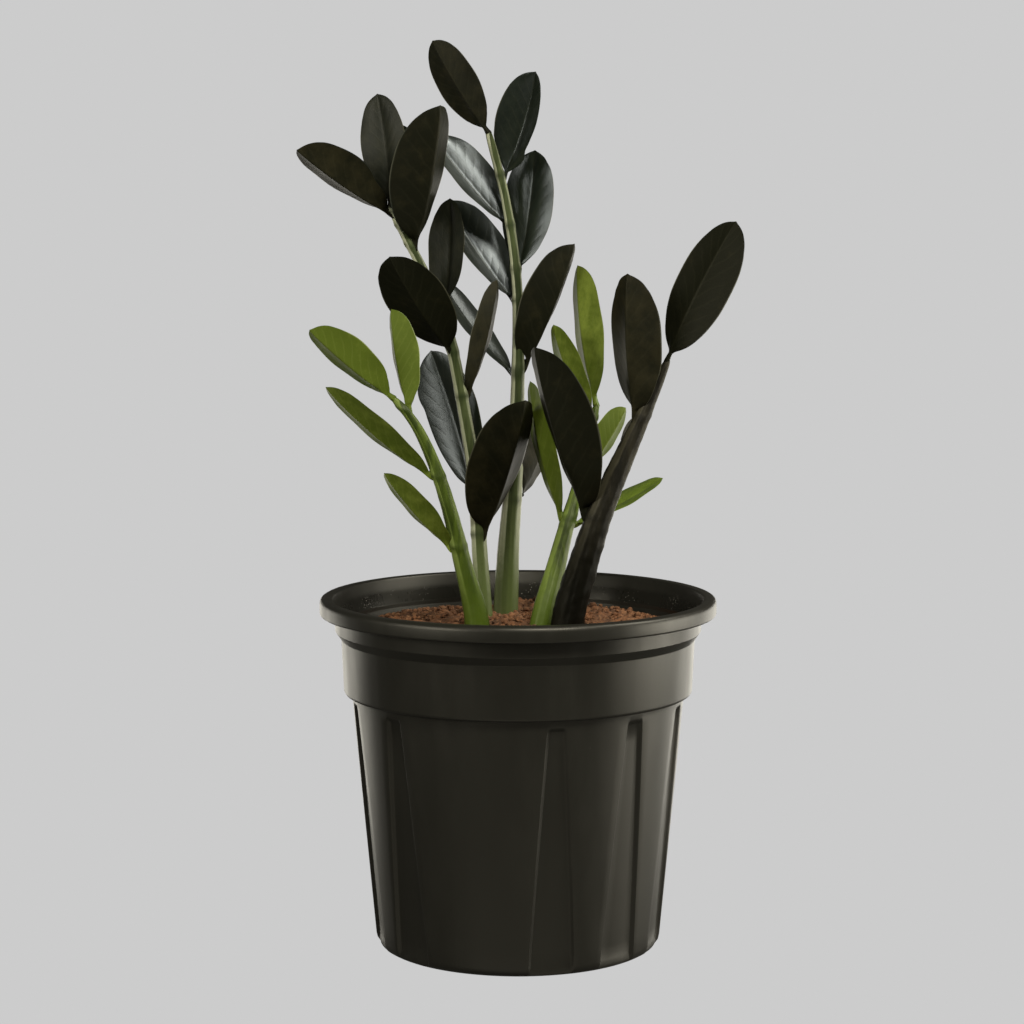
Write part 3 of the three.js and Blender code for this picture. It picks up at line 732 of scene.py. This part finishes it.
def build_soil():
    """A rough crust on the CAD soil, with loose crumbs on it."""
    height = soil_heights()
    bpy.ops.mesh.primitive_grid_add(
        x_subdivisions=CRUST_CELLS, y_subdivisions=CRUST_CELLS, size=2 * SOIL_RADIUS
    )
    crust = named("soil_crust")
    bpy.ops.object.mode_set(mode="EDIT")
    bpy.ops.mesh.select_all(action="DESELECT")
    bpy.ops.object.mode_set(mode="OBJECT")
    for v in crust.data.vertices:
        v.select = v.co.xy.length > SOIL_RADIUS
    bpy.ops.object.mode_set(mode="EDIT")
    bpy.ops.mesh.delete(type="VERT")
    bpy.ops.object.mode_set(mode="OBJECT")
    co = points_of(crust)
    for i, (x, y, _) in enumerate(co):
        co[i][2] = height(x, y)
    for i, p in enumerate(co.copy()):
        here = Vector(p)
        cells = noise.voronoi(here * 330)[0]
        lump = 0.0011 * noise.noise(here * 140) + 0.0009 * noise.noise(here * 320)
        lump += 0.0014 * (0.55 - cells[0]) + 0.0004 * noise.noise(here * 900)
        edge = min(1.0, (SOIL_RADIUS - here.xy.length) / 0.004 + 0.25)
        co[i][2] += 0.0006 + lump * edge
        co[i][0] += 0.0004 * noise.noise(here * 420 + Vector((5, 0, 0))) * edge
        co[i][1] += 0.0004 * noise.noise(here * 420 + Vector((0, 9, 0))) * edge
    set_points(crust, co)
    smooth(crust, 60)
    finish_piece(crust, SOIL, "coir")

    shapes = []
    for k in range(4):
        bpy.ops.mesh.primitive_ico_sphere_add(subdivisions=2, radius=1.0)
        shape = named(f"crumb_shape_{k}")
        points = points_of(shape)
        for i, p in enumerate(points.copy()):
            here = Vector(p)
            broad = noise.noise(here * 1.4 + Vector((k * 7, 0, 0)))
            points[i] *= 1 + 0.38 * broad + 0.14 * noise.noise(here * 3.5)
        set_points(shape, points)
        shapes.append(shape)
    crumbs = []
    for _ in range(CRUMBS):
        angle, out = rng.uniform(0, 2 * math.pi), SOIL_RADIUS * 0.975 * math.sqrt(rng.random())
        size = 0.0004 + 0.0012 * rng.random() ** 2.6
        x, y = out * math.cos(angle), out * math.sin(angle)
        crumb = rng.choice(shapes).copy()
        crumb.data = crumb.data.copy()
        bpy.context.collection.objects.link(crumb)
        turn = Matrix.Rotation(rng.uniform(0, 6.3), 4, "Z") @ Matrix.Rotation(rng.uniform(0, 6.3), 4, "X")
        stretch = Matrix.Diagonal((size, size * rng.uniform(0.6, 1), size * rng.uniform(0.5, 0.9), 1))
        crumb.data.transform(Matrix.Translation((x, y, height(x, y) + 0.0011 + size * 0.3)) @ turn @ stretch)
        crumbs.append(crumb)
    activate(crumbs[0])
    for crumb in crumbs:
        crumb.select_set(True)
    bpy.ops.object.join()
    heap = named("soil_crumbs")
    for shape in shapes:
        bpy.data.objects.remove(shape)
    smooth(heap, 50)
    finish_piece(heap, SOIL, "coir")


# ------------------------------------------------------------------ assembly

SHOWN = {"soil": SOIL, "back_rhizome": ROOT, "left_rhizome": ROOT, "right_rhizome": ROOT}
for node, material in SHOWN.items():
    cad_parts[node].data.materials.clear()
    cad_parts[node].data.materials.append(material)

build_pot()
build_soil()

STEM_LOOKS = {
    "centre_stem": (GREEN_STEM, "green_stem"),
    "left_stem": (GREEN_STEM, "green_stem"),
    "young_left_stem": (YOUNG_STEM, "young_stem"),
    "young_right_stem": (YOUNG_STEM, "young_stem"),
    "right_stem": (DARK_STEM, "dark_stem"),
}
for stem in STEMS:
    stem_points = np.array([v.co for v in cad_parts[stem].data.vertices])
    leaf_look = (YOUNG_LEAF, "young_leaf") if stem.startswith("young") else (OLD_LEAF, "old_leaf")
    prefix = stem.replace("_stem", "_leaf_")
    knots = [
        build_leaf(node, stem_points, *leaf_look)
        for node in sorted(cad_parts)
        if node.startswith(prefix)
    ]
    build_stem(stem, *STEM_LOOKS[stem], knots)


# ------------------------------------------------------------------ stage

world = bpy.data.worlds.new("studio")
world.use_nodes = True
bpy.context.scene.world = world
world.node_tree.nodes["Background"].inputs["Color"].default_value = (0.604, 0.604, 0.604, 1)
world.node_tree.nodes["Background"].inputs["Strength"].default_value = 1.0


def lamp(name, place, target, size, power):
    data = bpy.data.lights.new(name, "AREA")
    data.shape = "RECTANGLE"
    data.size, data.size_y = size
    data.energy = power
    data.color = WARM[:3]
    obj = bpy.data.objects.new(name, data)
    bpy.context.collection.objects.link(obj)
    obj.location = place
    obj.rotation_euler = (Vector(target) - Vector(place)).to_track_quat("-Z", "Y").to_euler()
    obj.visible_camera = False


lamp("key_box", (0.35, -1.0, 1.2), (-0.02, 0, 0.27), (0.5, 0.5), 21)
lamp("left_box", (-0.98, -0.85, 0.5), (0, 0, 0.27), (0.8, 0.5), 9)
lamp("right_box", (1.15, 0.05, 0.1), (0, 0, 0.08), (0.9, 0.6), 11)
lamp("high_box", (0.85, 0.05, 1.0), (0, 0, 0.28), (0.6, 0.6), 9)
lamp("floor_fill", (0, -0.55, -0.5), (0, 0, 0.1), (1.2, 0.6), 0.9)
lamp("left_edge", (-0.75, 1.1, -0.05), (0, 0, 0.08), (1.0, 0.5), 4.3)
lamp("right_edge", (0.75, 1.1, -0.05), (0, 0, 0.08), (1.0, 0.5), 4.3)

# A dark room that the camera doesn't see. It glows faintly as a dim fill, and the lamps give the rest of the
# light on the plant.
room_material = Shader("room").done(
    Base_Color=(0.03, 0.03, 0.03, 1), Roughness=1.0, Emission_Color=(1, 0.95, 0.8, 1), Emission_Strength=0.04
)
bpy.ops.mesh.primitive_cylinder_add(vertices=72, radius=1.6, depth=2.4, location=(0, 0, 0.6))
room = named("dark_room")
room.data.materials.append(room_material)
room.visible_camera = False

camera = bpy.data.objects.new("camera", bpy.data.cameras.new("camera"))
bpy.context.collection.objects.link(camera)
camera.location = (-0.00243, -1.1185, 0.3066)
camera.rotation_euler = (math.radians(90 - 6.65), 0, 0)
camera.data.sensor_width = 36
camera.data.lens = 98.4375
camera.data.clip_start, camera.data.clip_end = 0.05, 20
bpy.context.scene.camera = camera
bpy.context.scene.view_settings.view_transform = "Standard"
